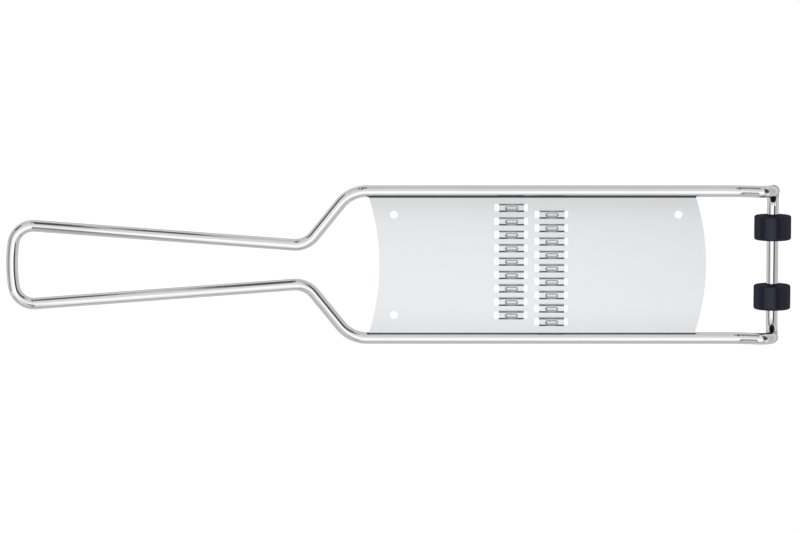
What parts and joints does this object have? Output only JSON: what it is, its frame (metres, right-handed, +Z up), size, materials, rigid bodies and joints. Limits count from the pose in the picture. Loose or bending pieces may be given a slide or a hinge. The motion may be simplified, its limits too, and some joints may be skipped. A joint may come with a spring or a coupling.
{
  "type": "julienne grater",
  "caption": "Hand grater for julienne strips: bent wire frame with a handle loop, a steel plate with raised teeth and black rubber rings on the end bar",
  "frame": {"origin": "under the middle of the outline, at the height of the lowest line of the rubber rings", "axes": "+X from the handle to the rings, +Y to the left of a user looking along +X, +Z up on the toothed side"},
  "size_m": [0.35, 0.071, 0.0243],
  "materials": {
    "polished_wire": "polished stainless steel wire",
    "satin_sheet": "satin stainless steel sheet",
    "black_rubber": "matt moulded rubber"
  },
  "bodies": {
    "frame": {"wire_frame": "polished_wire", "grating_plate": "satin_sheet"},
    "left_ring": {"rubber_ring_left": "black_rubber"},
    "right_ring": {"rubber_ring_right": "black_rubber"}
  },
  "joints": [
    {"name": "left_ring_turn", "type": "hinge", "parent": "frame", "child": "left_ring", "pos_m": [0.16675, 0.0156, 0.00825], "axis": [0, 1, 0], "continuous": true},
    {"name": "right_ring_turn", "type": "hinge", "parent": "frame", "child": "right_ring", "pos_m": [0.16675, -0.0156, 0.00825], "axis": [0, 1, 0], "continuous": true}
  ]
}
